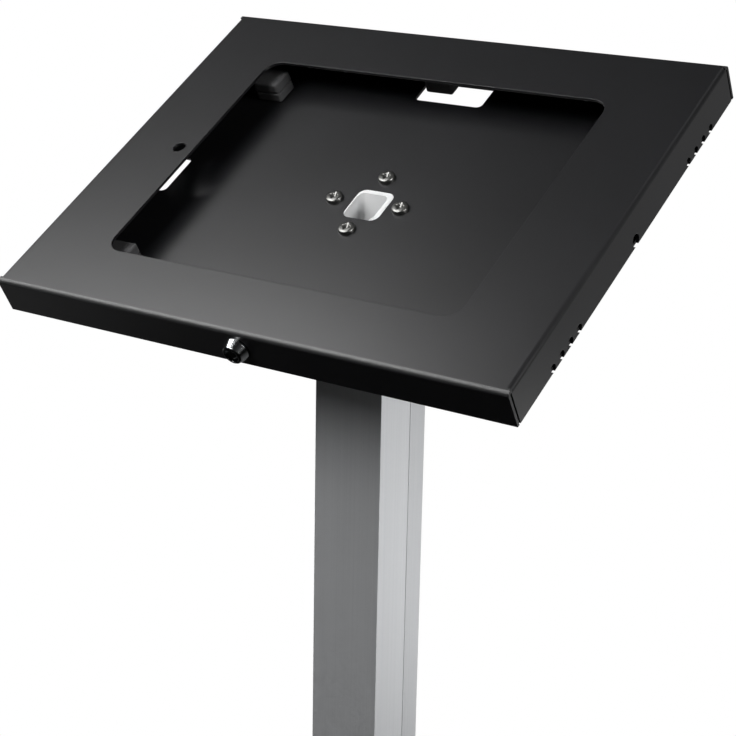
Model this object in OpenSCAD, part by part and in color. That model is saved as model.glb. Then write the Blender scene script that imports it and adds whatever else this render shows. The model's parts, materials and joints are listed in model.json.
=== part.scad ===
// Tablet security kiosk stand: a folded steel tablet case on an aluminium floor post.
// Millimetres. The origin is the middle of the underside, on the floor. +Z is up, the front faces -Y.

/* [Case] */
// Width of the case across its front
case_w = 290; // [270:1:330]
// Depth of the case along its slope
case_d = 225; // [205:1:260]
// Height of the cover's folded walls
cover_h = 19.5; // [19.5:0.5:30]
// Thickness of the steel sheet
sheet_t = 1.5; // [1:0.1:2]
// Outside radius of the bends in the sheet
bend_r = 2.2; // [2.1:0.1:3]
// Slope of the case from level, in degrees
tilt = 30; // [15:1:45]

/* [Cover openings] */
// Width of the screen window
window_w = 202; // [180:1:210]
// Depth of the screen window
window_d = 154; // [130:1:158]
// Corner radius of the screen window
window_r = 9; // [2:0.5:12]
// Distance of the window's middle in front of the middle of the case
window_shift = 1; // [0:0.5:3]
// Diameter of the camera hole
camera_d = 7; // [4:0.5:10]
// Distance of the camera hole to the left of the middle
camera_x = 110; // [108:1:120]
// Diameter of the sound holes in the right wall
sound_d = 4.2; // [3:0.2:6]
// Number of sound holes in each group
sound_count = 4; // [2:1:6]
// Spacing of the sound holes
sound_pitch = 8.4; // [7:0.2:10]
// Distance of the first sound hole from the end of the wall, before the shift
sound_inset = 30; // [20:1:36]
// Distance of the middle of the holes in the right wall behind the middle of the case
sound_shift = 3.5; // [0:0.5:5]
// Diameter of the single hole in the middle of the right wall
jack_d = 6.3; // [5:0.1:8]
// Height of the sound holes' centres above the wall's lower edge
sound_rise = 2; // [1.5:0.1:4]
// Height of the single hole's centre above the wall's lower edge
jack_rise = 2.8; // [2.5:0.1:5]

/* [Tray] */
// Height of the tray's folded walls
tray_wall_h = 10; // [8:0.5:14]
// Length left open at each corner between the tray's walls
tray_corner = 12; // [8:1:20]
// Side of the square cable hole
cable_hole = 21; // [20:0.5:24]
// Corner radius of the cable hole
cable_hole_r = 4.5; // [2:0.5:6]
// Distance of each tray screw from the screws' middle
tray_screw_off = 19.5; // [18:0.5:24]
// Distance of the head's flange and the tray screws behind the case's middle
flange_shift = 1.5; // [0:0.5:3]
// Distance of the cable hole right of the tray screws' middle
hole_right = 1; // [0:0.5:2]
// Distance of the cable hole in front of the tray screws' middle
hole_front = 0.5; // [0:0.5:1]
// Width of the floor opening at the back
back_slot_w = 40; // [30:1:60]
// Distance from the middle to the near edge of the back opening
back_slot_in = 82.5; // [78:0.5:84]
// Width of the floor opening at the left
left_slot_w = 27; // [20:1:40]
// Distance from the middle to the near edge of the left opening
left_slot_in = 119; // [117:0.5:122]
// Length of both floor openings, from the near edge outwards
slot_l = 16; // [12:0.5:16]
// Radius of the near corners of the floor openings
slot_r = 3; // [1:0.5:5]

/* [Foam] */
// Width of a corner pad
pad_w = 16; // [8:1:18]
// Depth of a corner pad
pad_d = 14; // [10:1:16]
// Thickness of one layer of a corner pad
pad_layer = 5.7; // [4:0.1:6]
// Distance of the corner pads' centres from the tray screws' middle, across
pad_x = 103; // [102:0.5:106]
// Distance of the corner pads' centres from the tray screws' middle, along the slope
pad_y = 71.5; // [66:0.5:76]
// Width of an edge spacer
spacer_w = 16; // [10:1:24]
// Height of an edge spacer
spacer_h = 12; // [8:0.5:15]
// Distance from the middle to the spacers at the back and front
spacer_y = 89; // [86:0.5:92]
// Distance from the middle to the spacers at the left and right
spacer_x = 123.5; // [121:0.5:127]
// Distance of the front spacers from the middle, across
front_spacer_x = 60; // [40:1:90]
// Distance of the right-hand spacers from the middle, along the slope
right_spacer_y = 21; // [16:1:40]

/* [Lock] */
// Diameter of the lock's head at the wall
lock_d = 13; // [12:0.5:14]
// Diameter of the lock's face, at the end of its tapering head
lock_face = 10; // [9.6:0.1:11]
// How far the lock's head stands out of the front wall
lock_stand = 5.5; // [4:0.5:8]
// Height of the lock's axis above the tray's underside
lock_rise = 11.7; // [11:0.1:11.9]
// Distance of the lock's axis to the right of the middle
lock_x = 2; // [0:0.5:4]
// Diameter of the lock's threaded barrel
barrel_d = 10.4; // [10:0.1:11]
// Length of the barrel behind the front wall's outer face
barrel_l = 14; // [10:0.5:16]
// Diameter of the turning plug
plug_d = 7.4; // [7:0.1:7.8]
// Width of the cam arm
cam_w = 6; // [5:0.2:7]
// Reach of the cam arm from the lock's axis
cam_reach = 7.6; // [6.5:0.1:7.8]
// Thickness of the cam
cam_t = 2; // [1.5:0.1:3]

/* [Hinges] */
// Length of each hinge
hinge_l = 40; // [30:1:50]
// Distance of the hinges from the middle
hinge_x = 85; // [70:1:100]
// Radius of the hinge knuckles
knuckle_r = 2.5; // [2.3:0.1:3]
// Radius of the hinge pins
hinge_pin_r = 1.25; // [1:0.05:1.5]
// Thickness of the hinge leaves
leaf_t = 1.2; // [1:0.1:1.4]
// Length of the hinge leaves from the pin's axis
leaf_l = 15; // [12:0.5:16]

/* [Post] */
// Side of the square post
post_w = 40; // [38:1:60]
// Wall of the post
post_wall = 2; // [1.8:0.1:2.4]
// Length of the post
post_len = 1000; // [600:10:1200]
// Depth of the front chamber inside the post
chamber_d = 20; // [19:0.5:21]
// Depth of the rear cover strip
strip_d = 14; // [12:0.5:15]
// Width of the open seam between the post and its rear cover
seam_gap = 0.4; // [0.2:0.1:0.8]
// Radius of the screw ports in the post
port_r = 2.55; // [2:0.05:2.6]
// Wall round the screw ports
port_wall = 1.25; // [1:0.05:1.5]

/* [Head] */
// Side of the head's square flange under the tray
flange_w = 64; // [56:1:72]
// Thickness of the flange
flange_t = 6; // [5:0.5:8]
// Least height of the head's neck above the post
neck_h = 4; // [2:0.5:10]
// Length of the spigot inside the post
spigot_l = 50; // [40:1:70]
// Width of the cable duct
duct_w = 17; // [12:0.5:17]
// Depth of the cable duct
duct_d = 16; // [12:0.5:16]
// Corner radius of the cable duct
duct_r = 3; // [1:0.5:4]
// Distance of the head's flange in front of the post's axis
head_shift = 5.7; // [5:0.1:8]

/* [Base] */
// Width and depth of the base plate
base_w = 340; // [300:5:420]
// Thickness of the base plate
base_t = 6; // [5:0.5:10]
// Corner radius of the base plate
base_r = 25; // [10:1:40]
// Diameter of the floor anchor holes
anchor_d = 9; // [7:0.5:12]
// Distance of the anchor holes from the plate's edges
anchor_in = 22; // [18:1:30]
// Diameter of the rubber feet
foot_d = 32; // [20:1:36]
// Height of the rubber feet
foot_h = 4; // [3:0.5:10]
// Distance of the feet from the plate's edges
foot_in = 50; // [48:1:70]

/* [Clearances] */
// Gap between the tray and the cover's walls at the sides and the back
case_gap = 0.8; // [0.6:0.1:1.2]
// Gap between the tray and the cover's front wall, which swings past it
front_gap = 1; // [0.8:0.1:2]
// Open seam at the cover's corners
corner_gap = 1; // [0.5:0.1:2]
// Height of the cover's lower edge above the tray's underside
lift_gap = 1.8; // [1.7:0.1:2.4]
// Gap of parts that slide together
slip = 0.2; // [0.1:0.05:0.3]
// Running gap of pins and plugs, all round
run_gap = 0.05; // [0.02:0.01:0.1]
// Gap between parts that swing past each other
swing_gap = 0.4; // [0.3:0.1:0.6]

/* [Hidden] */
$fn = 48;

// Excess length of a cutting tool past the face that it cuts
over = 1;

steel_black = "#202124";
foam_black = "#2b2b2c";
alu_silver = "#b9bcc0";
cast_silver = "#c9cbcd";
zinc = "#a9acb0";
rubber_black = "#1a1a1a";

// Base and post
base_top = foot_h + base_t;
post_top = base_top + post_len;
post_half = post_w / 2;
post_in = post_half - post_wall;
web_front = chamber_d - post_in;
web_back = web_front + post_wall;
seam_y = post_half - strip_d;
port_or = port_r + port_wall;
// The ports' walls sink this far into the post's walls
port_root = 0.6;
port_front = [post_in - port_or + port_root, -(post_in - port_or + port_root)];
port_back = [port_front[0] - port_or, web_back + port_or - port_root];
lip_t = 1;
lip_l = 4;
bead_r = 0.5;
base_screw_r = port_r - run_gap;
base_screw_head = [4.8, 2.8];
base_screw_l = 28;
base_edge = 1;
foot_edge = 1;
cable_window = [13, 70];
cable_notch = [18, 14];

// Case: its own frame has its origin at the case's middle, on the tray's underside
case_y = -head_shift - flange_shift * cos(tilt);
case_z = post_top + neck_h + flange_t / cos(tilt) + (post_half + case_y) * tan(tilt);
cover_top = lift_gap + cover_h;
tray_side = case_w / 2 - sheet_t - case_gap;
tray_back = case_d / 2 - sheet_t - case_gap;
tray_front = case_d / 2 - sheet_t - front_gap;
flat_inset = bend_r;
wall_inset = bend_r + slip;
// Slit between a folded wall and the tab of the floor beside it
tab_slit = 1;

// Head
chamber_y = web_front - chamber_d / 2;
spigot = [2 * (post_in - slip), chamber_d - 2 * slip];
grub_r = 3;
grub_l = 8;
grub_z = [post_top - spigot_l / 4, post_top - 3 * spigot_l / 4];
pad_r = 1;
tray_screw_l = sheet_t + flange_t - 0.5;
tray_screw = [2, 4.4, 2.4, tray_screw_l];
flange_r = 6;

// Lock
lock_y = -case_d / 2;
nut_across = 13;
nut_t = 3.5;
keyway_r = 2.2;
keyway_depth = 3;
key_notch = [1.6, 1.6, 2];
lock_rim = 1.2;
lock_edge = 0.4;
plug_notch = [1, 1.2, 2 * keyway_depth];
cam_screw_r = 1.5;
plug_recess = 0.8;
plug_tail = 3;
tail_side = 5;
cam_hub = 4.2;
cam_y = lock_y + barrel_l + plug_tail;
nut_room = 4;
lock_bay = nut_across / cos(30) + 2 * nut_room;
cam_room = 0.6;
catch_x = lock_x - cam_hub - cam_room;
catch_lip = 7;
catch_foot = 13;
catch_l = 8;
catch_y = cam_y - slip - cam_room;
catch_top = lock_rise + cam_w / 2 + swing_gap + sheet_t;

// Hinges
hinge_y = case_d / 2 + knuckle_r + swing_gap;
hinge_z = knuckle_r - leaf_t;
knuckle_mid = hinge_l * 0.4;
rivet_r = 1.6;
rivet_head = [3, 0.8];
rivet_cone = 0.6;
rivet_off = hinge_l * 0.3;
rivet_rise = leaf_l * 0.7;

// A rectangle with round corners, centred
module round_rect(w, d, r) {
    square([w - 2 * r, d], center = true);
    square([w, d - 2 * r], center = true);
    for (sx = [-1, 1], sy = [-1, 1])
        translate([sx * (w / 2 - r), sy * (d / 2 - r)]) circle(r);
}

// A slot with round ends, standing along its second axis
module round_slot(w, l) {
    square([w, l - w], center = true);
    for (s = [-1, 1])
        translate([0, s * (l - w) / 2]) circle(w / 2);
}

// Puts its children in the case's sloping frame
module in_case() {
    translate([0, case_y, case_z]) rotate([tilt, 0, 0]) children();
}

// Puts its children at the middle of the head's flange, on the tray's underside
module at_head() {
    in_case() translate([0, flange_shift, 0]) children();
}

// Section of a folded edge: a stub of the flat, the bend, and the wall standing up to height h
module fold_section(h) {
    translate([-bend_r - over, 0]) square([over, sheet_t]);
    translate([-bend_r, bend_r]) intersection() {
        difference() {
            circle(bend_r);
            circle(bend_r - sheet_t);
        }
        translate([0, -bend_r]) square(bend_r);
    }
    translate([-sheet_t, bend_r]) square([sheet_t, h - bend_r]);
}

// A folded edge of length l, its wall's outer face on the plane X = 0
module fold(l, h) {
    rotate([90, 0, 0]) linear_extrude(l, center = true) fold_section(h);
}

// A screw standing on its head's seat: shank radius, head radius, head height and shank length
module pan_screw(size) {
    recess = [size[0] * 2.2, size[0] * 0.5, size[2] * 0.55];
    difference() {
        union() {
            translate([0, 0, -size[3]]) cylinder(r = size[0], h = size[3] + over / 2);
            rotate_extrude() intersection() {
                square([size[1], size[2]]);
                translate([0, size[2] - size[1] * 1.6]) circle(size[1] * 1.6);
            }
        }
        for (a = [0, 90])
            rotate(a) translate([0, 0, size[2]])
                cube([recess[0], recess[1], 2 * recess[2]], center = true);
    }
}

// A rivet along Z through sheets of total thickness t, with a head below and, if both, above
module rivet(t, both) {
    cylinder(r = rivet_r, h = t);
    rim = rivet_head[0] - rivet_cone;
    translate([0, 0, -rivet_head[1]]) cylinder(r1 = rim, r2 = rivet_head[0], h = rivet_head[1]);
    if (both)
        translate([0, 0, t]) cylinder(r1 = rivet_head[0], r2 = rim, h = rivet_head[1]);
}

module at_ports() {
    for (s = [-1, 1], p = [port_front, port_back])
        translate([s * p[0], p[1]]) children();
}

module at_corners(inset) {
    for (sx = [-1, 1], sy = [-1, 1])
        translate([sx * (base_w / 2 - inset), sy * (base_w / 2 - inset)]) children();
}

// Section across the base plate, with its chamfered top edges
module plate_section() {
    side = base_w / 2;
    shoulder = base_t - base_edge;
    top = side - base_edge;
    polygon([[-side, 0], [side, 0], [side, shoulder], [top, base_t], [-top, base_t], [-side, shoulder]]);
}

// Steel floor plate with a chamfered top edge, bored for the post's screws and for floor anchors
module base_plate() color(steel_black) translate([0, 0, foot_h]) difference() {
    union() {
        for (a = [0, 90])
            rotate(a) rotate([90, 0, 0]) linear_extrude(base_w - 2 * base_r, center = true) plate_section();
        at_corners(base_r) {
            cylinder(r = base_r, h = base_t - base_edge);
            translate([0, 0, base_t - base_edge])
                cylinder(r1 = base_r, r2 = base_r - base_edge, h = base_edge);
        }
    }
    at_ports() translate([0, 0, -over]) {
        cylinder(r = base_screw_r + slip, h = base_t + 2 * over);
        cylinder(r = base_screw_head[0] + slip, h = base_screw_head[1] + slip + over);
    }
    at_corners(anchor_in) translate([0, 0, -over]) cylinder(d = anchor_d, h = base_t + 2 * over);
}

// Four rubber discs under the base plate
module base_feet() color(rubber_black) at_corners(foot_in) {
    cylinder(d1 = foot_d - 2 * foot_edge, d2 = foot_d, h = foot_edge);
    translate([0, 0, foot_edge]) cylinder(d = foot_d, h = foot_h - foot_edge);
}

// Screws from below, through the base plate into the post's ports
module base_screws() color(zinc) at_ports() translate([0, 0, foot_h + slip]) difference() {
    union() {
        cylinder(r = base_screw_head[0], h = base_screw_head[1]);
        cylinder(r = base_screw_r, h = base_screw_l);
    }
    translate([0, 0, -over]) cylinder(r = base_screw_r * 0.6, h = base_screw_head[1] * 0.6 + over, $fn = 6);
}

// Section of the post: front chamber, web, screw ports and the two lips that hold the rear cover
module channel_section() difference() {
    union() {
        difference() {
            translate([-post_half, -post_half]) square([post_w, seam_y + post_half]);
            translate([-post_in, -post_in]) square([2 * post_in, chamber_d]);
            translate([-post_in, web_back]) square([2 * post_in, post_w]);
        }
        for (s = [-1, 1])
            translate([s * (post_in - slip - lip_t / 2), (web_front + seam_y + lip_l) / 2])
                square([lip_t, seam_y + lip_l - web_front], center = true);
        at_ports() circle(port_or);
    }
    at_ports() circle(port_r);
    for (s = [-1, 1])
        translate([s * post_in, seam_y + lip_l / 2]) circle(bead_r + slip);
}

// Aluminium post, with a window in its web for the cable and side holes for the head's screws
module post_channel() color(alu_silver) difference() {
    translate([0, 0, base_top]) linear_extrude(post_len) channel_section();
    translate([0, web_back + over, post_top - spigot_l - cable_window[1]]) rotate([90, 0, 0])
        linear_extrude(post_wall + 2 * over) round_slot(cable_window[0], cable_window[1]);
    for (z = grub_z)
        translate([0, chamber_y, z]) rotate([0, 90, 0])
            cylinder(r = grub_r + run_gap, h = post_w + 2 * over, center = true);
}

// Rear strip that snaps over the post's lips, with a notch for the cable at its foot
module post_cover() color(alu_silver) difference() {
    translate([0, 0, base_top]) linear_extrude(post_len) {
        difference() {
            translate([-post_half, seam_y + seam_gap]) square([post_w, strip_d - seam_gap]);
            translate([-post_in, seam_y]) square([2 * post_in, strip_d - post_wall]);
        }
        for (s = [-1, 1])
            translate([s * post_in, seam_y + lip_l / 2]) circle(bead_r);
    }
    translate([0, post_half + over, base_top]) rotate([90, 0, 0])
        linear_extrude(post_wall + 2 * over) round_slot(cable_notch[0], 2 * cable_notch[1]);
}

// Cutter for the cable duct, upright through the head
module cable_duct() {
    translate([0, chamber_y, post_top - spigot_l - over])
        linear_extrude(spigot_l + 3 * post_w) round_rect(duct_w, duct_d, duct_r);
}

// Cast head: flange under the tray, wedge neck on the post, spigot in the post and the cable duct
module head_block() color(cast_silver) difference() {
    union() {
        at_head() translate([0, 0, -flange_t])
            linear_extrude(flange_t) round_rect(flange_w, flange_w, flange_r);
        intersection() {
            translate([-post_half, -post_half, post_top]) cube([post_w, post_w, 2 * post_w]);
            in_case() translate([-post_w, -2 * post_w, -4 * post_w])
                cube([2 * post_w, 4 * post_w, 4 * post_w]);
        }
        translate([0, 0, post_top - spigot_l]) linear_extrude(spigot_l + over) difference() {
            translate([0, chamber_y]) square(spigot, center = true);
            at_ports() circle(port_or + slip);
        }
    }
    cable_duct();
    at_head() for (a = [0 : 90 : 270])
        rotate(a) translate([tray_screw_off, 0, -flange_t - over])
            cylinder(r = tray_screw[0] + run_gap, h = flange_t + 2 * over);
    for (z = grub_z)
        translate([0, chamber_y, z]) rotate([0, 90, 0])
            cylinder(r = grub_r + run_gap, h = post_w, center = true);
}

// Collar in the cable hole, flush with the tray's floor and open at the front, where the duct meets it
module cable_collar() color(cast_silver) difference() {
    collar = cable_hole - 2 * slip;
    at_head() translate([hole_right, -hole_front])
        linear_extrude(sheet_t) round_rect(collar, collar, cable_hole_r - slip);
    cable_duct();
}

// Grub screws through the post's sides into the spigot
module head_screws() color(zinc) for (s = [-1, 1], z = grub_z)
    translate([s * (post_half - slip), chamber_y, z]) rotate([0, -90 * s, 0]) difference() {
        cylinder(r = grub_r, h = grub_l);
        translate([0, 0, -over]) cylinder(r = grub_r / 2, h = grub_l / 2 + over, $fn = 6);
    }

// An opening in the tray's floor, from its near edge at X = 0 outwards, round at its near corners
module slot_shape(w) {
    translate([slot_r, -w / 2]) square([slot_l - slot_r, w]);
    translate([0, -w / 2 + slot_r]) square([slot_l, w - 2 * slot_r]);
    for (s = [-1, 1])
        translate([slot_r, s * (w / 2 - slot_r)]) circle(slot_r);
}

// Back tray: floor with folded walls, open at the corners and at the lock; flat tabs beside the sound holes
module tray() color(steel_black) in_case() {
    depth = tray_back + tray_front;
    middle = (tray_back - tray_front) / 2;
    long_wall = 2 * (tray_side - tray_corner);
    short_wall = depth - 2 * tray_corner;
    right_wall = short_wall / 2 - sound_inset - sound_count * sound_pitch - jack_d;
    tab_in = jack_d + right_wall + tab_slit;
    linear_extrude(sheet_t) difference() {
        union() {
            translate([0, middle])
                square([2 * (tray_side - flat_inset), depth - 2 * flat_inset], center = true);
            translate([0, sound_shift - jack_d + tab_slit]) square([tray_side, 2 * (jack_d - tab_slit)]);
            translate([0, sound_shift + tab_in])
                square([tray_side, tray_back - flat_inset - sound_shift - tab_in]);
            translate([0, flat_inset - tray_front])
                square([tray_side, tray_front - flat_inset + sound_shift - tab_in]);
        }
        translate([0, flange_shift]) {
            translate([hole_right, -hole_front]) round_rect(cable_hole, cable_hole, cable_hole_r);
            for (a = [0 : 90 : 270])
                rotate(a) translate([tray_screw_off, 0]) circle(tray_screw[0] + slip);
        }
        translate([0, back_slot_in]) rotate(90) slot_shape(back_slot_w);
        translate([-left_slot_in, 0]) rotate(180) slot_shape(left_slot_w);
        for (s = [-1, 1], t = [-1, 1])
            translate([s * hinge_x + t * rivet_off, hinge_y - leaf_l]) circle(rivet_r + run_gap);
        for (t = [-1, 1])
            translate([catch_x - catch_lip - catch_foot / 2, catch_y + catch_l / 2 + t * catch_l / 4])
                circle(rivet_r / 2 + run_gap);
    }
    translate([0, tray_back, 0]) rotate(90) fold(long_wall, tray_wall_h);
    translate([-tray_side, middle, 0]) rotate(180) fold(short_wall, tray_wall_h);
    for (s = [-1, 1]) {
        front_wall = (long_wall - lock_bay) / 2 - s * lock_x;
        translate([s * (long_wall - front_wall) / 2, -tray_front, 0])
            rotate(-90) fold(front_wall, tray_wall_h);
        translate([tray_side, sound_shift + s * (jack_d + right_wall / 2), 0])
            fold(right_wall, tray_wall_h);
    }
}

// Cross-head screws that hold the tray on the head
module tray_screws() color(zinc) at_head() for (a = [0 : 90 : 270])
    rotate(a) translate([tray_screw_off, 0, sheet_t]) rotate(45) pan_screw(tray_screw);

// One layer of the foam pads in the tray's four corners, its underside at height z
module pad_layer_at(z) {
    for (sx = [-1, 1], sy = [-1, 1])
        translate([sx * pad_x, sy * pad_y + flange_shift, z])
            linear_extrude(pad_layer) round_rect(pad_w, pad_d, pad_r);
}

module corner_pads_lower() color(foam_black) in_case() pad_layer_at(sheet_t);

module corner_pads_upper() color(foam_black) in_case() pad_layer_at(sheet_t + pad_layer);

// Foam blocks between the tablet's edges and the tray's walls
module edge_spacers() color(foam_black) in_case() translate([0, 0, sheet_t]) {
    back_l = tray_back - wall_inset - spacer_y;
    front_l = tray_front - wall_inset - spacer_y;
    side_l = tray_side - wall_inset - spacer_x;
    translate([-spacer_w, spacer_y, 0]) cube([spacer_w, back_l, spacer_h]);
    translate([-spacer_x - side_l, -spacer_w / 2, 0]) cube([side_l, spacer_w, spacer_h]);
    for (s = [-1, 1]) {
        translate([s * front_spacer_x - spacer_w / 2, -spacer_y - front_l, 0])
            cube([spacer_w, front_l, spacer_h]);
        translate([spacer_x, s * right_spacer_y + sound_shift - spacer_w / 2, 0])
            cube([side_l, spacer_w, spacer_h]);
    }
}

// Where a hinge lies, with its axis along X
module at_hinges() {
    for (s = [-1, 1])
        translate([s * hinge_x, hinge_y, hinge_z]) children();
}

// A knuckle of length l along X
module knuckle(l) {
    rotate([0, 90, 0]) cylinder(r = knuckle_r, h = l, center = true);
}

module pin_bore() {
    rotate([0, 90, 0]) cylinder(r = hinge_pin_r + run_gap, h = hinge_l + 2 * over, center = true);
}

// Hinge leaves under the tray, each with two outer knuckles
module hinge_tray_leaves() color(zinc) in_case() at_hinges() difference() {
    outer = (hinge_l - knuckle_mid) / 2 - slip;
    union() {
        for (s = [-1, 1]) {
            translate([s * (hinge_l - outer) / 2, 0, 0]) knuckle(outer);
            translate([s * (hinge_l - outer) / 2 - outer / 2, -leaf_l, -knuckle_r])
                cube([outer, leaf_l, leaf_t]);
        }
        translate([-hinge_l / 2, -leaf_l - rivet_head[0] - over, -knuckle_r])
            cube([hinge_l, leaf_l + rivet_head[0] + over - knuckle_r - swing_gap, leaf_t]);
    }
    pin_bore();
    for (t = [-1, 1])
        translate([t * rivet_off, -leaf_l, -knuckle_r - over])
            cylinder(r = rivet_r + run_gap, h = leaf_t + 2 * over);
}

module hinge_tray_rivets() color(zinc) in_case() for (s = [-1, 1], t = [-1, 1])
    translate([s * hinge_x + t * rivet_off, hinge_y - leaf_l, -leaf_t]) rivet(leaf_t + sheet_t, true);

module hinge_pins() color(zinc) in_case() at_hinges()
    rotate([0, 90, 0]) cylinder(r = hinge_pin_r, h = hinge_l, center = true);

// Z-shaped catch on the tray's floor: the cam turns in under its lip
module lock_catch() color(zinc) in_case() difference() {
    translate([catch_x, catch_y + catch_l, 0]) rotate([90, 0, 0]) linear_extrude(catch_l) {
        translate([-catch_lip, catch_top - sheet_t]) square([catch_lip, sheet_t]);
        translate([-catch_lip - sheet_t, sheet_t]) square([sheet_t, catch_top - sheet_t]);
        translate([-catch_lip - catch_foot, sheet_t]) square([catch_foot, sheet_t]);
    }
    for (t = [-1, 1])
        translate([catch_x - catch_lip - catch_foot / 2, catch_y + catch_l / 2 + t * catch_l / 4, 0])
            cylinder(r = rivet_r / 2 + run_gap, h = catch_top);
}

module catch_rivets() color(zinc) in_case() for (t = [-1, 1])
    translate([catch_x - catch_lip - catch_foot / 2, catch_y + catch_l / 2 + t * catch_l / 4, 0]) {
        cylinder(r = rivet_r / 2, h = 2 * sheet_t);
        translate([0, 0, 2 * sheet_t]) cylinder(r1 = rivet_r, r2 = rivet_r * 0.7, h = rivet_head[1]);
    }

// Front cover: plate with four folded walls; the side walls stop short and leave open corner seams
module cover() color(steel_black) in_case() translate([0, 0, cover_top]) mirror([0, 0, 1]) difference() {
    side_wall = case_d - 2 * (sheet_t + corner_gap);
    sound_end = case_d / 2 - sound_inset;
    union() {
        translate([-case_w / 2 + flat_inset, -case_d / 2 + flat_inset, 0])
            cube([case_w - 2 * flat_inset, case_d - 2 * flat_inset, sheet_t]);
        for (s = [-1, 1]) {
            translate([0, s * case_d / 2, 0]) rotate(90 * s) fold(case_w, cover_h);
            translate([s * case_w / 2, 0, 0]) rotate(90 - 90 * s) fold(side_wall, cover_h);
        }
    }
    translate([0, -window_shift, -over])
        linear_extrude(sheet_t + 2 * over) round_rect(window_w, window_d, window_r);
    translate([-camera_x, 0, -over]) cylinder(d = camera_d, h = sheet_t + 2 * over);
    translate([lock_x, lock_y - over, cover_top - lock_rise]) rotate([-90, 0, 0])
        cylinder(d = barrel_d + 2 * run_gap, h = sheet_t + 2 * over);
    for (s = [-1, 1], i = [0 : sound_count - 1])
        translate([case_w / 2 + over, sound_shift + s * (sound_end - i * sound_pitch), cover_h - sound_rise])
            rotate([0, -90, 0]) cylinder(d = sound_d, h = sheet_t + 2 * over);
    translate([case_w / 2 + over, sound_shift, cover_h - jack_rise])
        rotate([0, -90, 0]) cylinder(d = jack_d, h = sheet_t + 2 * over);
    for (s = [-1, 1], t = [-1, 1])
        translate([s * hinge_x + t * rivet_off, case_d / 2 + over, cover_top - hinge_z - rivet_rise])
            rotate([90, 0, 0]) cylinder(r = rivet_r + run_gap, h = sheet_t + 2 * over);
}

// Hinge leaves on the cover's back wall, each with a middle knuckle
module hinge_cover_leaves() color(zinc) in_case() at_hinges() difference() {
    back = -knuckle_r - swing_gap;
    mid = knuckle_mid - 2 * slip;
    union() {
        knuckle(mid);
        translate([-mid / 2, back, 0]) cube([mid, leaf_t, leaf_l]);
        translate([-hinge_l / 2, back, knuckle_r + swing_gap])
            cube([hinge_l, leaf_t, leaf_l - knuckle_r - swing_gap]);
    }
    pin_bore();
    for (t = [-1, 1])
        translate([t * rivet_off, back - over, rivet_rise]) rotate([-90, 0, 0])
            cylinder(r = rivet_r + run_gap, h = leaf_t + 2 * over);
}

module hinge_cover_rivets() color(zinc) in_case() for (s = [-1, 1], t = [-1, 1])
    translate([s * hinge_x + t * rivet_off, case_d / 2 + leaf_t, hinge_z + rivet_rise])
        rotate([90, 0, 0]) rivet(leaf_t + sheet_t, false);

// Puts its children at the front wall's outer face on the lock's axis, with +Z into the case
module at_lock() {
    in_case() translate([lock_x, lock_y, lock_rise]) rotate([-90, 0, 0]) children();
}

// Tubular lock's fixed body: tapering head outside, threaded barrel inside, bored for the plug
module lock_barrel() color(zinc) at_lock() difference() {
    rim = lock_d / 2;
    face = lock_face / 2;
    union() {
        rotate_extrude()
            polygon([[0, 0], [rim, 0], [rim, -lock_rim], [face, lock_edge - lock_stand],
                     [face - lock_edge, -lock_stand], [0, -lock_stand]]);
        translate([0, 0, -over]) cylinder(d = barrel_d, h = barrel_l + over);
    }
    translate([0, 0, -lock_stand - over])
        cylinder(d = plug_d + 2 * run_gap, h = lock_stand + barrel_l + 2 * over);
    translate([0, -plug_d / 2, -lock_stand]) cube(key_notch, center = true);
}

// Hexagon nut behind the front wall, with a flat towards the bend above it
module lock_nut() color(zinc) at_lock() translate([0, 0, sheet_t]) difference() {
    cylinder(d = nut_across / cos(30), h = nut_t, $fn = 6);
    translate([0, 0, -over]) cylinder(d = barrel_d + 2 * run_gap, h = nut_t + 2 * over);
}

// Turning plug: key post at the front, body in the barrel, square tail for the cam
module lock_plug() color(zinc) at_lock() {
    body = -lock_stand + plug_recess + keyway_depth;
    difference() {
        union() {
            translate([0, 0, body - keyway_depth]) cylinder(r = keyway_r, h = keyway_depth + over);
            translate([0, 0, body]) cylinder(d = plug_d, h = barrel_l + plug_tail - body);
            translate([-tail_side / 2, -tail_side / 2, barrel_l])
                cube([tail_side, tail_side, plug_tail + cam_t]);
        }
        translate([0, -keyway_r, body - keyway_depth]) cube(plug_notch, center = true);
        translate([0, 0, barrel_l]) cylinder(r = cam_screw_r + run_gap, h = plug_tail + cam_t + over);
    }
}

// Cam arm on the plug's tail, hanging down when unlocked
module lock_cam() color(zinc) at_lock() translate([0, 0, barrel_l + plug_tail])
    linear_extrude(cam_t) difference() {
        union() {
            circle(cam_hub);
            translate([-cam_w / 2, 0]) square([cam_w, cam_reach - cam_w / 2]);
            translate([0, cam_reach - cam_w / 2]) circle(cam_w / 2);
        }
        square(tail_side + 2 * run_gap, center = true);
    }

module cam_screw() color(zinc) at_lock() translate([0, 0, barrel_l + plug_tail + cam_t])
    pan_screw([cam_screw_r, 2.4 * cam_screw_r, 2, plug_tail + cam_t - 0.5]);

base_plate();
base_feet();
base_screws();
post_channel();
post_cover();
head_block();
cable_collar();
head_screws();
tray();
tray_screws();
corner_pads_lower();
corner_pads_upper();
edge_spacers();
hinge_tray_leaves();
hinge_tray_rivets();
hinge_pins();
lock_catch();
catch_rivets();
cover();
hinge_cover_leaves();
hinge_cover_rivets();
lock_barrel();
lock_nut();
lock_plug();
lock_cam();
cam_screw();
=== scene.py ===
"""Looks of the tablet security kiosk stand: finishes, foam pads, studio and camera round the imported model."""
import json
import math

import bpy
import numpy as np
from mathutils import Matrix, Vector


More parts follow.
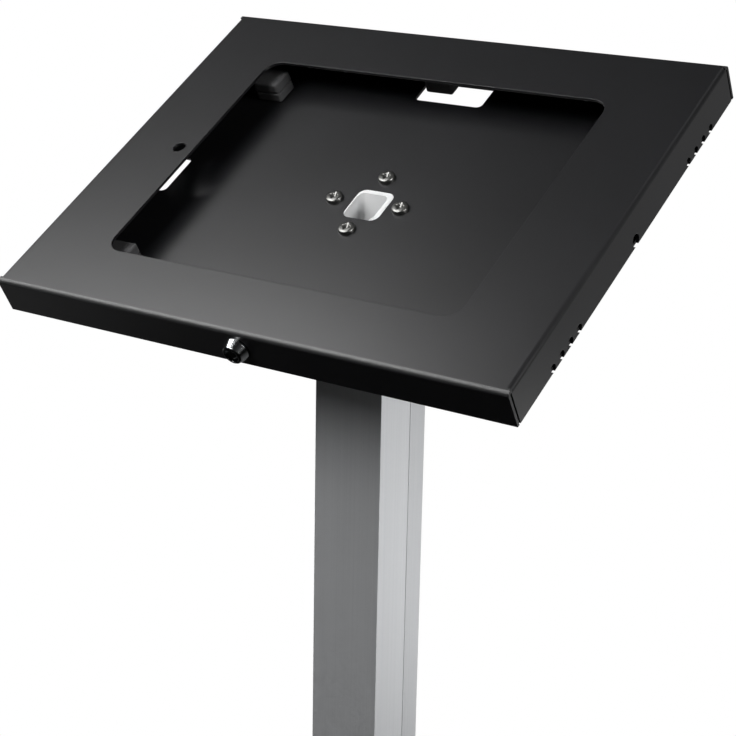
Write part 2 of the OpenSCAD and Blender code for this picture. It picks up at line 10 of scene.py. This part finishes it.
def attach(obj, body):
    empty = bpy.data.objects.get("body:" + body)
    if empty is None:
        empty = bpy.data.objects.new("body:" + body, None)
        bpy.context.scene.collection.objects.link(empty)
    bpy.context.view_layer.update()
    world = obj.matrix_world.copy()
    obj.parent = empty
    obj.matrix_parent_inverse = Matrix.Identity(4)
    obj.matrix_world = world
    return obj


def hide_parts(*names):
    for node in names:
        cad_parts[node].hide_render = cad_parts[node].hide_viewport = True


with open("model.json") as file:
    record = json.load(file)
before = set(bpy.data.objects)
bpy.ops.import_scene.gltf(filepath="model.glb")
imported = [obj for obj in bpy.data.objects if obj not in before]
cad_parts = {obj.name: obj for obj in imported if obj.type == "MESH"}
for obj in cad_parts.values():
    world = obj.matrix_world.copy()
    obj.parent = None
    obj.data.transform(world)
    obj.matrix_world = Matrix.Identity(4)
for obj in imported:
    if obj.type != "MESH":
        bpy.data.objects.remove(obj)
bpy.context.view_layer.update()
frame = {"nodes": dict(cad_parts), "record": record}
nodes = frame["nodes"]

MM = 0.001

# The case's own sloping frame: its origin is the case's middle, on the tray's underside
CASE_SLOPE = math.radians(30)
CASE_ORIGIN = np.array([0.0, -6.999, 1028.4344]) * MM

# The cover in that frame, in millimetres: height of its top, depth from front to back and radius of its bends
CASE_TOP = 21.3
CASE_DEPTH = 225.0
BEND_RADIUS = 2.2

# The way that the middle of the front bend faces, and how far that way the bend starts
BEND_FACING = (0.0, -math.sin(CASE_SLOPE + math.pi / 4), math.cos(CASE_SLOPE + math.pi / 4))
BEND_START = CASE_ORIGIN @ BEND_FACING + (CASE_DEPTH / 2 - BEND_RADIUS + CASE_TOP) * math.sqrt(0.5) * MM
# Millimetres past that start where the coat begins to turn dull, and where it is dull
BEND_FADE = (0.05, 0.2)

# Camera fitted to the edges of the case and the post in the photograph
CAMERA_AZIMUTH = math.radians(34.309)
CAMERA_ELEVATION = math.radians(17.519)
CAMERA_ROLL = math.radians(1.105)
CAMERA_FOCAL_PX = 1810.0
CAMERA_CLIP = (0.05, 200.0)
PHOTO_SIDE_PX = 736
SENSOR_MM = 36.0
# How far the middle of the case's top lies to the right of the camera, below it and ahead of it
CAMERA_OFFSET = np.array([-6.362, -93.013, 869.932]) * MM

# Sockets of a colour Mix node: its factor, its two colours and, among its outputs, its result
MIX_FACTOR, MIX_FIRST, MIX_SECOND, MIX_RESULT = 0, 6, 7, 2


def colour(code):
    """Linear RGBA of an sRGB hex colour."""
    part = np.array([int(code[i:i + 2], 16) for i in (1, 3, 5)]) / 255
    linear = np.where(part <= 0.04045, part / 12.92, ((part + 0.055) / 1.055) ** 2.4)
    return (*linear.tolist(), 1.0)


def add(tree, kind, sockets=None, **settings):
    """One node: settings are its properties, sockets its inputs, each a value or an output to link from."""
    made = tree.nodes.new(kind)
    for key, value in settings.items():
        setattr(made, key, value)
    for key, value in (sockets or {}).items():
        if isinstance(value, bpy.types.NodeSocket):
            tree.links.new(value, made.inputs[key])
        else:
            made.inputs[key].default_value = value
    return made


def finish_of(name):
    """An empty material, its node tree and its object coordinates, in metres."""
    made = bpy.data.materials.new(name)
    made.use_nodes = True
    made.node_tree.nodes.clear()
    tree = made.node_tree
    place = add(tree, "ShaderNodeTexCoord").outputs["Object"]
    return made, tree, place


def per_mm(size):
    """Scale of a noise texture whose features are about size millimetres wide."""
    return 1 / (size * MM)


def powder_coat():
    """Polyester powder coat on sheet steel, sprayed and baked: near-black, with a broad soft sheen and a fine
    orange peel. The peel is drawn at 1.1 mm, coarser than the real 0.4 mm, so that it shows in the render.
    The coat is duller along the cover's front bend, where the folding roughened the sheet."""
    made, tree, place = finish_of("black_powder_coated_steel")
    peel = add(tree, "ShaderNodeTexNoise", {"Vector": place, "Scale": per_mm(1.1), "Detail": 2.0,
                                            "Roughness": 0.6})
    cloud = add(tree, "ShaderNodeTexNoise", {"Vector": place, "Scale": per_mm(38), "Detail": 3.0})
    tone = add(tree, "ShaderNodeMix", {MIX_FACTOR: cloud.outputs["Fac"], MIX_FIRST: colour("#0b0b0c"),
                                       MIX_SECOND: colour("#141416")}, data_type="RGBA")
    gloss = add(tree, "ShaderNodeMapRange", {"Value": peel.outputs["Fac"], "From Min": 0.3, "From Max": 0.7,
                                             "To Min": 0.28, "To Max": 0.34})
    soft_edge = add(tree, "ShaderNodeBevel", {"Radius": 0.35 * MM}, samples=4)
    bend = add(tree, "ShaderNodeVectorMath", {0: place, 1: BEND_FACING}, operation="DOT_PRODUCT")
    stretch = add(tree, "ShaderNodeMapRange", {"Value": bend.outputs["Value"], "To Max": 0.23,
                                               "From Min": BEND_START + BEND_FADE[0] * MM,
                                               "From Max": BEND_START + BEND_FADE[1] * MM})
    dull = add(tree, "ShaderNodeMath", {0: gloss.outputs["Result"], 1: stretch.outputs["Result"]},
               operation="ADD")
    bump = add(tree, "ShaderNodeBump", {"Height": peel.outputs["Fac"], "Strength": 0.25,
                                        "Distance": 0.05 * MM, "Normal": soft_edge.outputs["Normal"]})
    coat = add(tree, "ShaderNodeBsdfPrincipled", {"Base Color": tone.outputs[MIX_RESULT],
                                                  "Roughness": dull.outputs[0],
                                                  "Normal": bump.outputs["Normal"], "IOR": 1.56})
    add(tree, "ShaderNodeOutputMaterial", {"Surface": coat.outputs["BSDF"]})
    return made


def anodised_aluminium(name, dark, pale):
    """Drawn aluminium extrusion, etched and clear anodised: silver grey, satin, with fine lines along its
    length, in tones from dark to pale. The lines are drawn 0.7 mm wide, coarser than the real die lines, so
    that they show in the render."""
    made, tree, place = finish_of(name)
    along = add(tree, "ShaderNodeMapping", {"Vector": place, "Scale": (1.0, 1.0, 0.004)})
    lines = add(tree, "ShaderNodeTexNoise", {"Vector": along.outputs["Vector"], "Scale": per_mm(0.7),
                                             "Detail": 3.0, "Roughness": 0.6})
    etch = add(tree, "ShaderNodeTexNoise", {"Vector": place, "Scale": per_mm(1.5), "Detail": 2.0})
    tone = add(tree, "ShaderNodeMix", {MIX_FACTOR: lines.outputs["Fac"], MIX_FIRST: colour(dark),
                                       MIX_SECOND: colour(pale)}, data_type="RGBA")
    gloss = add(tree, "ShaderNodeMapRange", {"Value": etch.outputs["Fac"], "To Min": 0.48, "To Max": 0.60})
    bump = add(tree, "ShaderNodeBump", {"Height": lines.outputs["Fac"], "Strength": 0.05,
                                        "Distance": 0.03 * MM})
    metal = add(tree, "ShaderNodeBsdfPrincipled", {"Base Color": tone.outputs[MIX_RESULT], "Metallic": 1.0,
                                                   "Roughness": gloss.outputs["Result"],
                                                   "Normal": bump.outputs["Normal"]})
    add(tree, "ShaderNodeOutputMaterial", {"Surface": metal.outputs["BSDF"]})
    return made


def cast_aluminium():
    """Die-cast aluminium, blasted and lacquered silver: pale, matt, with a fine grain of about 1 mm."""
    made, tree, place = finish_of("lacquered_cast_aluminium")
    grain = add(tree, "ShaderNodeTexNoise", {"Vector": place, "Scale": per_mm(1.0), "Detail": 3.0})
    cloud = add(tree, "ShaderNodeTexNoise", {"Vector": place, "Scale": per_mm(14), "Detail": 2.0})
    tone = add(tree, "ShaderNodeMix", {MIX_FACTOR: cloud.outputs["Fac"], MIX_FIRST: colour("#a9aaab"),
                                       MIX_SECOND: colour("#b6b6b6")}, data_type="RGBA")
    gloss = add(tree, "ShaderNodeMapRange", {"Value": grain.outputs["Fac"], "To Min": 0.6, "To Max": 0.75})
    bump = add(tree, "ShaderNodeBump", {"Height": grain.outputs["Fac"], "Strength": 0.2,
                                        "Distance": 0.05 * MM})
    lacquer = add(tree, "ShaderNodeBsdfPrincipled", {"Base Color": tone.outputs[MIX_RESULT],
                                                     "Roughness": gloss.outputs["Result"],
                                                     "Normal": bump.outputs["Normal"]})
    add(tree, "ShaderNodeOutputMaterial", {"Surface": lacquer.outputs["BSDF"]})
    return made


def zinc_plate():
    """Bright zinc-plated steel: blue-grey metal, slightly cloudy from the bath, in patches of about 4 mm."""
    made, tree, place = finish_of("bright_zinc_plated_steel")
    bath = add(tree, "ShaderNodeTexNoise", {"Vector": place, "Scale": per_mm(4), "Detail": 4.0})
    tone = add(tree, "ShaderNodeMix", {MIX_FACTOR: bath.outputs["Fac"], MIX_FIRST: colour("#9fa4aa"),
                                       MIX_SECOND: colour("#c2c4c4")}, data_type="RGBA")
    gloss = add(tree, "ShaderNodeMapRange", {"Value": bath.outputs["Fac"], "To Min": 0.24, "To Max": 0.44})
    metal = add(tree, "ShaderNodeBsdfPrincipled", {"Base Color": tone.outputs[MIX_RESULT], "Metallic": 1.0,
                                                   "Roughness": gloss.outputs["Result"]})
    add(tree, "ShaderNodeOutputMaterial", {"Surface": metal.outputs["BSDF"]})
    return made


def nickel_plate():
    """Dull nickel plate on the screw heads: dark grey, faintly warm metal, with tumbling marks of about
    0.6 mm and rounded edges that glint round the cross recess."""
    made, tree, place = finish_of("dull_nickel_plated_steel")
    marks = add(tree, "ShaderNodeTexNoise", {"Vector": place, "Scale": per_mm(0.6), "Detail": 2.0})
    tone = add(tree, "ShaderNodeMix", {MIX_FACTOR: marks.outputs["Fac"], MIX_FIRST: colour("#5a5a58"),
                                       MIX_SECOND: colour("#70706e")}, data_type="RGBA")
    gloss = add(tree, "ShaderNodeMapRange", {"Value": marks.outputs["Fac"], "To Min": 0.3, "To Max": 0.4})
    soft_edge = add(tree, "ShaderNodeBevel", {"Radius": 0.25 * MM}, samples=4)
    bump = add(tree, "ShaderNodeBump", {"Height": marks.outputs["Fac"], "Strength": 0.1,
                                        "Distance": 0.03 * MM, "Normal": soft_edge.outputs["Normal"]})
    metal = add(tree, "ShaderNodeBsdfPrincipled", {"Base Color": tone.outputs[MIX_RESULT], "Metallic": 1.0,
                                                   "Roughness": gloss.outputs["Result"],
                                                   "Normal": bump.outputs["Normal"]})
    add(tree, "ShaderNodeOutputMaterial", {"Surface": metal.outputs["BSDF"]})
    return made


def lock_chrome():
    """Chrome-plated brass lock: mirror-like, faintly scuffed by keys in marks of about 0.8 mm, with rounded
    edges that glint."""
    made, tree, place = finish_of("chrome_plated_lock")
    scuffs = add(tree, "ShaderNodeTexNoise", {"Vector": place, "Scale": per_mm(0.8), "Detail": 3.0})
    tone = add(tree, "ShaderNodeMix", {MIX_FACTOR: scuffs.outputs["Fac"], MIX_FIRST: colour("#808284"),
                                       MIX_SECOND: colour("#989a9b")}, data_type="RGBA")
    gloss = add(tree, "ShaderNodeMapRange", {"Value": scuffs.outputs["Fac"], "To Min": 0.08, "To Max": 0.20})
    soft_edge = add(tree, "ShaderNodeBevel", {"Radius": 0.4 * MM}, samples=4)
    metal = add(tree, "ShaderNodeBsdfPrincipled", {"Base Color": tone.outputs[MIX_RESULT], "Metallic": 1.0,
                                                   "Roughness": gloss.outputs["Result"],
                                                   "Normal": soft_edge.outputs["Normal"]})
    add(tree, "ShaderNodeOutputMaterial", {"Surface": metal.outputs["BSDF"]})
    return made


def closed_cell_foam():
    """Die-cut closed-cell foam: dull charcoal black, with cells of about 0.5 mm cut open on every face."""
    made, tree, place = finish_of("black_closed_cell_foam")
    cells = add(tree, "ShaderNodeTexVoronoi", {"Vector": place, "Scale": per_mm(0.5)})
    dust = add(tree, "ShaderNodeTexNoise", {"Vector": place, "Scale": per_mm(3), "Detail": 3.0})
    tone = add(tree, "ShaderNodeMix", {MIX_FACTOR: dust.outputs["Fac"], MIX_FIRST: colour("#2c2c2d"),
                                       MIX_SECOND: colour("#353536")}, data_type="RGBA")
    bump = add(tree, "ShaderNodeBump", {"Height": cells.outputs["Distance"], "Strength": 0.5,
                                        "Distance": 0.15 * MM})
    foam = add(tree, "ShaderNodeBsdfPrincipled", {"Base Color": tone.outputs[MIX_RESULT], "Roughness": 0.85,
                                                  "Normal": bump.outputs["Normal"]})
    add(tree, "ShaderNodeOutputMaterial", {"Surface": foam.outputs["BSDF"]})
    return made


def foot_rubber():
    """Moulded rubber foot: matt black with a fine spark-eroded grain of about 0.8 mm."""
    made, tree, place = finish_of("moulded_black_rubber")
    grain = add(tree, "ShaderNodeTexNoise", {"Vector": place, "Scale": per_mm(0.8), "Detail": 2.0})
    tone = add(tree, "ShaderNodeMix", {MIX_FACTOR: grain.outputs["Fac"], MIX_FIRST: colour("#121212"),
                                       MIX_SECOND: colour("#1e1e1e")}, data_type="RGBA")
    bump = add(tree, "ShaderNodeBump", {"Height": grain.outputs["Fac"], "Strength": 0.3,
                                        "Distance": 0.08 * MM})
    rubber = add(tree, "ShaderNodeBsdfPrincipled", {"Base Color": tone.outputs[MIX_RESULT], "Roughness": 0.8,
                                                    "Normal": bump.outputs["Normal"]})
    add(tree, "ShaderNodeOutputMaterial", {"Surface": rubber.outputs["BSDF"]})
    return made


finishes = {"black_powder_steel": powder_coat(),
            "anodised_aluminium": anodised_aluminium("satin_anodised_aluminium", "#dcdee0", "#e9eaec"),
            "cast_aluminium": cast_aluminium(),
            "zinc_steel": zinc_plate(),
            "nickel_steel": nickel_plate(),
            "lock_chrome": lock_chrome(),
            "black_foam": closed_cell_foam(),
            "foot_rubber": foot_rubber()}
# The post's rear strip is another extrusion, anodised a shade darker
strip_finish = anodised_aluminium("darker_satin_anodised_aluminium", "#d3d5d7", "#dedfe1")
for subpart in frame["record"]["subparts"]:
    finish = strip_finish if subpart["node"] == "post_cover" else finishes[subpart["material_slot"]]
    node_mesh = nodes[subpart["node"]].data
    node_mesh.materials.clear()
    node_mesh.materials.append(finish)

# Points of a curve before even steps are taken along it
DENSE = 4001


def superellipse(turn, half, power):
    """Points at the angles turn of |x/a|^power + |y/b|^power = 1, with the half sizes a and b."""
    wave = np.stack([np.cos(turn), np.sin(turn)], axis=1)
    return np.sign(wave) * np.abs(wave) ** (2 / power) * half


def even_steps(curve, count):
    """count points at even steps along a dense curve, from its first point to its last."""
    length = np.concatenate([[0.0], np.cumsum(np.hypot(*np.diff(curve, axis=0).T))])
    wanted = np.linspace(0, length[-1], count)
    return np.stack([np.interp(wanted, length, curve[:, i]) for i in (0, 1)], axis=1)


def closed_skin(rings, bottom, top):
    """Points and faces of a closed skin: rings of points from below upwards, an array of rows, steps and XYZ,
    with one point closing each end."""
    rows, around = rings.shape[:2]
    row, step = np.meshgrid(np.arange(rows - 1), np.arange(around), indexing="ij")
    after = (step + 1) % around
    quads = np.stack([row * around + step, row * around + after, (row + 1) * around + after,
                      (row + 1) * around + step], axis=2).reshape(-1, 4)
    step, after = step[0], after[0]
    last = (rows - 1) * around
    below = np.stack([np.full(around, rows * around), after, step], axis=1)
    above = np.stack([np.full(around, rows * around + 1), last + step, last + after], axis=1)
    points = np.concatenate([rings.reshape(-1, 3), [bottom, top]])
    return points, [quads, np.concatenate([below, above])]


def foam_block(low, high, corner, edge, around=72, rows=25, waist=0.2):
    """Die-cut foam block between two corners of the case's frame, in millimetres.
    In plan it is |x/a|^corner + |y/b|^corner = 1 and up its side r^edge + |z/c|^edge = 1, so its edges are
    soft and its top has a slight crown. The sides draw in by waist millimetres at half height."""
    low, high = np.array(low, float), np.array(high, float)
    half, middle = (high - low) / 2, (high + low) / 2
    plan = superellipse(np.linspace(0, 2 * np.pi, DENSE), half[:2], corner)
    plan = even_steps(plan, around + 1)[:-1]
    reach = half[:2].min()
    side = superellipse(np.linspace(-np.pi / 2, np.pi / 2, DENSE), (reach, half[2]), edge)
    side = even_steps(side, rows + 2)[1:-1]
    share = side[:, 0] / reach - waist / reach * (1 - (side[:, 1] / half[2]) ** 2)
    ring = plan[None] * share[:, None, None]
    height = np.broadcast_to(side[:, 1][:, None, None], (rows, around, 1))
    rings = np.concatenate([ring, height], axis=2) + middle
    return closed_skin(rings, middle - [0, 0, half[2]], middle + [0, 0, half[2]])


def in_case(points):
    """Points of the case's frame, in millimetres, turned by the slope about X into the stand's, in metres."""
    slope, across = math.cos(CASE_SLOPE), math.sin(CASE_SLOPE)
    turned = np.stack([points[:, 0], points[:, 1] * slope - points[:, 2] * across,
                       points[:, 1] * across + points[:, 2] * slope], axis=1)
    return turned * MM + CASE_ORIGIN


def case_piece(name, skins, replaced, slot):
    """One piece from closed skins of the case's frame. It takes the place of a CAD node, which it hides, and
    rides on the stand.
    """
    points, faces, start = [], [], 0
    for skin_points, groups in skins:
        points.append(skin_points)
        for group in groups:
            faces += (group + start).tolist()
        start += len(skin_points)
    mesh = bpy.data.meshes.new(name)
    mesh.from_pydata(in_case(np.concatenate(points)).tolist(), [], faces)
    mesh.polygons.foreach_set("use_smooth", np.ones(len(mesh.polygons), bool))
    mesh.materials.append(finishes[slot])
    mesh.update()
    made = bpy.data.objects.new(name, mesh)
    bpy.context.scene.collection.objects.link(made)
    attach(made, "stand")
    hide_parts(replaced)
    return made


def foam_piece(name, blocks, replaced, softness):
    """A piece of foam blocks, whose softness is the exponents of their plan and side."""
    skins = [foam_block(low, high, *softness) for low, high in blocks]
    made = case_piece(name, skins, replaced, "black_foam")


# Foam sizes of the CAD model, in millimetres of the case's frame
FLOOR = 1.5
PAD_MIDDLE = (103, 71.5)
PAD_SIZE = (16, 14)
PAD_LAYER = 5.7
FLANGE_SHIFT = 1.5
SPACER_HIGH = 12
SPACER_WIDE = 16
SPACER_SIDE = (123.5, 140.3)
SPACER_BACK = (89, 107.8)
SPACER_FRONT = (89, 107.6)
FRONT_SPACER_X = 60
RIGHT_SPACER_Y = (-17.5, 24.5)

# Exponents of the blocks' plan and side: the higher, the sharper the edges
PAD_SOFTNESS = (16, 9)
SPACER_SOFTNESS = (28, 16)


def pad_layer(base):
    """The four corner pads' blocks of one layer, from height base."""
    low = np.array([-PAD_SIZE[0] / 2, -PAD_SIZE[1] / 2, base])
    high = np.array([PAD_SIZE[0] / 2, PAD_SIZE[1] / 2, base + PAD_LAYER])
    middles = [np.array([sx * PAD_MIDDLE[0], sy * PAD_MIDDLE[1] + FLANGE_SHIFT, 0])
               for sx in (-1, 1) for sy in (-1, 1)]
    return [(middle + low, middle + high) for middle in middles]


def spacer_blocks():
    """The edge spacers' blocks: one at the back, one on the left, two at the front and two on the right."""
    half = SPACER_WIDE / 2
    top = FLOOR + SPACER_HIGH
    blocks = [((-SPACER_WIDE, SPACER_BACK[0], FLOOR), (0, SPACER_BACK[1], top)),
              ((-SPACER_SIDE[1], -half, FLOOR), (-SPACER_SIDE[0], half, top))]
    for x in (-FRONT_SPACER_X, FRONT_SPACER_X):
        blocks.append(((x - half, -SPACER_FRONT[1], FLOOR), (x + half, -SPACER_FRONT[0], top)))
    for y in RIGHT_SPACER_Y:
        blocks.append(((SPACER_SIDE[0], y - half, FLOOR), (SPACER_SIDE[1], y + half, top)))
    return blocks


foam_piece("corner_foam_lower", pad_layer(FLOOR), "corner_pads_lower", PAD_SOFTNESS)
foam_piece("corner_foam_upper", pad_layer(FLOOR + PAD_LAYER), "corner_pads_upper", PAD_SOFTNESS)
foam_piece("edge_foam_blocks", spacer_blocks(), "edge_spacers", SPACER_SOFTNESS)

# Tray screws of the CAD model, in millimetres: reach from their middle, and radius and height of a head
SCREW_REACH = 19.5
SCREW_HEAD = (4.4, 2.4)
# Exponent of a head's profile: the higher, the flatter its top
HEAD_POWER = 5

# Cross recess, in millimetres: its depth, the radius of its cone, and the length and width of its wings
RECESS_DEPTH = 1.5
RECESS_CONE = 1.7
RECESS_WING = (2.5, 1.2)
# How far in from a wing's side, in millimetres, the wing has its whole depth
RECESS_SLOPE = 0.2
# Share of the depth at which the recess has a flat floor
RECESS_FLOOR = 0.85


def screw_head(x, y, around=96, rows=60):
    """Pan head with a cross recess, its seat at x, y on the tray's floor.
    Its profile is (r/a)^power + (z/h)^power = 1, so its top is flat and its rim round. The recess is the
    deeper of a cone, 1 - r/cone, and two crossed wings, 1 - |u|/length where |v| is under half their width,
    times its depth."""
    profile = superellipse(np.linspace(0, np.pi / 2, DENSE), SCREW_HEAD, HEAD_POWER)
    profile = even_steps(profile, rows + 1)[:-1]
    turn = np.linspace(0, 2 * np.pi, around, endpoint=False)
    across = profile[:, :1] * np.cos(turn)
    along = profile[:, :1] * np.sin(turn)
    cone = 1 - np.hypot(across, along) / RECESS_CONE
    length, width = RECESS_WING
    wings = [np.clip((width / 2 - np.abs(v)) / RECESS_SLOPE, 0, 1) * (1 - np.abs(u) / length)
             for u, v in ((across, along), (along, across))]
    depth = RECESS_DEPTH * np.clip(np.maximum(cone, np.maximum(*wings)), 0, RECESS_FLOOR)
    rings = np.stack([across + x, along + y, profile[:, 1:] - depth + FLOOR], axis=2)
    return closed_skin(rings, [x, y, FLOOR], [x, y, FLOOR + SCREW_HEAD[1] - RECESS_FLOOR * RECESS_DEPTH])


screw_places = [(SCREW_REACH, 0), (0, SCREW_REACH), (-SCREW_REACH, 0), (0, -SCREW_REACH)]
screw_heads = [screw_head(x, y + FLANGE_SHIFT) for x, y in screw_places]
case_piece("tray_screw_heads", screw_heads, "tray_screws", "nickel_steel")

# Brightness of the surroundings as mirror rays see them, white being 1
BACKDROP = 0.24
# A patch of floor on the stand's left glows this bright for mirror rays only: a painted reflection, with no
# card there
LEFT_MIRROR_GLOW = 0.15
DARK_ROOM = 0.025
# The right wall's brightness, as a share of the way from the dark room's to the backdrop's
RIGHT_WALL = 0.2

# Half the studio floor's side, in metres, and its depth under the stand's feet
STUDIO_HALF = 40.0
STUDIO_DROP = 0.1 * MM


def studio_floor():
    """Pale studio floor with the stand's shadow. Farther away the camera sees it fade into the white
    background. Mirror rays see it dark in front, with the backdrop behind the stand. A patch on its left
    glows pale for mirror rays only, a painted reflection with no card there."""
    made, tree, place = finish_of("pale_studio_floor")
    axes = add(tree, "ShaderNodeSeparateXYZ", {"Vector": place})
    behind = add(tree, "ShaderNodeMapRange", {"Value": axes.outputs["Y"], "From Min": 0.1, "From Max": 0.8,
                                              "To Max": BACKDROP}, interpolation_type="SMOOTHSTEP")
    # Painted reflection: a patch of floor on the stand's left that glows for mirror rays only
    left = add(tree, "ShaderNodeMapRange", {"Value": axes.outputs["X"], "From Min": -0.72, "From Max": -1.2,
                                            "To Max": LEFT_MIRROR_GLOW}, interpolation_type="SMOOTHSTEP")
    near = add(tree, "ShaderNodeMapRange", {"Value": axes.outputs["Y"], "From Min": -1.0, "From Max": -0.6},
               interpolation_type="SMOOTHSTEP")
    left_mirror_glow = add(tree, "ShaderNodeMath", {0: left.outputs["Result"], 1: near.outputs["Result"]},
               operation="MULTIPLY")
    mirror = add(tree, "ShaderNodeMath", {0: behind.outputs["Result"], 1: left_mirror_glow.outputs[0]},
                 operation="MAXIMUM")
    reach = add(tree, "ShaderNodeVectorMath", {0: place}, operation="LENGTH")
    away = add(tree, "ShaderNodeMapRange", {"Value": reach.outputs["Value"], "From Min": 0.3,
                                            "From Max": 1.2}, interpolation_type="SMOOTHSTEP")
    ray = add(tree, "ShaderNodeLightPath")
    plain = add(tree, "ShaderNodeMath", {0: ray.outputs["Is Camera Ray"], 1: away.outputs["Result"],
                                         2: ray.outputs["Is Glossy Ray"]}, operation="MULTIPLY_ADD")
    level = add(tree, "ShaderNodeMath", {0: ray.outputs["Is Camera Ray"], 1: mirror.outputs[0]},
                operation="MAXIMUM")
    matt = add(tree, "ShaderNodeBsdfDiffuse", {"Color": colour("#e6e6e4")})
    glow = add(tree, "ShaderNodeEmission", {"Color": colour("#ffffff"), "Strength": level.outputs[0]})
    both = add(tree, "ShaderNodeMixShader", {0: plain.outputs[0], 1: matt.outputs[0], 2: glow.outputs[0]})
    add(tree, "ShaderNodeOutputMaterial", {"Surface": both.outputs[0]})
    signs = ((-1, -1), (1, -1), (1, 1), (-1, 1))
    corners = [(x * STUDIO_HALF, y * STUDIO_HALF, -STUDIO_DROP) for x, y in signs]
    mesh = bpy.data.meshes.new("studio_floor")
    mesh.from_pydata(corners, [], [(0, 1, 2, 3)])
    mesh.materials.append(made)
    floor = bpy.data.objects.new("studio_floor", mesh)
    bpy.context.scene.collection.objects.link(floor)


def studio_world():
    """Studio room: white for the camera. Otherwise dark, with the backdrop round the horizon behind the stand
    and a dimmer wall on its right."""
    world = bpy.data.worlds.new("studio_room")
    bpy.context.scene.world = world
    world.use_nodes = True
    tree = world.node_tree
    tree.nodes.clear()
    heading = add(tree, "ShaderNodeTexCoord").outputs["Generated"]
    axes = add(tree, "ShaderNodeSeparateXYZ", {"Vector": heading})
    low = add(tree, "ShaderNodeMapRange", {"Value": axes.outputs["Z"], "From Min": 0.45, "From Max": 0.12},
              interpolation_type="SMOOTHSTEP")
    behind = add(tree, "ShaderNodeMapRange", {"Value": axes.outputs["Y"], "From Min": -0.2, "From Max": 0.3},
                 interpolation_type="SMOOTHSTEP")
    horizon = add(tree, "ShaderNodeMath", {0: low.outputs["Result"], 1: behind.outputs["Result"]},
                  operation="MULTIPLY")
    right = add(tree, "ShaderNodeMapRange", {"Value": axes.outputs["X"], "From Min": 0.3, "From Max": 0.8,
                                             "To Max": RIGHT_WALL}, interpolation_type="SMOOTHSTEP")
    pale = add(tree, "ShaderNodeMath", {0: horizon.outputs[0], 1: right.outputs["Result"]},
               operation="MAXIMUM")
    room = add(tree, "ShaderNodeMapRange", {"Value": pale.outputs[0], "To Min": DARK_ROOM,
                                            "To Max": BACKDROP})
    ray = add(tree, "ShaderNodeLightPath")
    level = add(tree, "ShaderNodeMath", {0: ray.outputs["Is Camera Ray"], 1: room.outputs["Result"]},
                operation="MAXIMUM")
    light = add(tree, "ShaderNodeBackground", {"Color": colour("#ffffff"), "Strength": level.outputs[0]})
    add(tree, "ShaderNodeOutputWorld", {"Surface": light.outputs[0]})


def soft_box(name, place, target, size, power, spread=180):
    """A rectangular soft lamp at place, facing target, in metres, watts and degrees."""
    lamp = bpy.data.lights.new(name, "AREA")
    lamp.shape = "RECTANGLE"
    lamp.size, lamp.size_y = size
    lamp.energy = power
    lamp.spread = math.radians(spread)
    made = bpy.data.objects.new(name, lamp)
    made.location = place
    made.rotation_euler = (Vector(target) - Vector(place)).to_track_quat("-Z", "Y").to_euler()
    bpy.context.scene.collection.objects.link(made)


studio_floor()
studio_world()
soft_box("key_soft_box", (-0.667, -0.42, 1.836), (0.0, -0.018, 1.047), (0.783, 0.787), 5.6, spread=90)
soft_box("front_soft_box", (-0.45, -1.8, 2.24), (0.0, -0.02, 0.80), (0.9, 0.9), 2.75, spread=40)
soft_box("right_soft_box", (1.25, -0.2, 1.45), (0.0, 0.0, 1.0), (0.45, 0.45), 4.5, spread=100)
soft_box("side_soft_box", (0.345, 0.57, 0.56), (0.0, 0.0, 0.8), (0.3, 0.3), 0.5)
soft_box("top_fill", (0.3, 0.4, 2.6), (0.0, 0.0, 1.0), (1.0, 1.0), 1.1)


def photo_camera():
    """The camera of the photograph: turned by azimuth, elevation and roll, and offset from the case's top."""
    azimuth, elevation, roll = CAMERA_AZIMUTH, CAMERA_ELEVATION, CAMERA_ROLL
    ahead = np.array([-math.sin(azimuth) * math.cos(elevation), math.cos(azimuth) * math.cos(elevation),
                      -math.sin(elevation)])
    level_right = np.array([math.cos(azimuth), math.sin(azimuth), 0.0])
    level_up = np.cross(level_right, ahead)
    right = level_right * math.cos(roll) + level_up * math.sin(roll)
    up = -level_right * math.sin(roll) + level_up * math.cos(roll)
    top = in_case(np.array([[0.0, 0.0, CASE_TOP]]))[0]
    placed = np.eye(4)
    placed[:3, :3] = np.stack([right, up, -ahead], axis=1)
    placed[:3, 3] = top - CAMERA_OFFSET[0] * right + CAMERA_OFFSET[1] * up - CAMERA_OFFSET[2] * ahead
    lens = bpy.data.cameras.new("photo_camera")
    lens.sensor_width = SENSOR_MM
    lens.lens = CAMERA_FOCAL_PX / PHOTO_SIDE_PX * SENSOR_MM
    lens.clip_start, lens.clip_end = CAMERA_CLIP
    made = bpy.data.objects.new("photo_camera", lens)
    made.matrix_world = Matrix(placed.tolist())
    bpy.context.scene.collection.objects.link(made)
    bpy.context.scene.camera = made


photo_camera()
bpy.context.scene.view_settings.view_transform = "Standard"
bpy.context.view_layer.update()
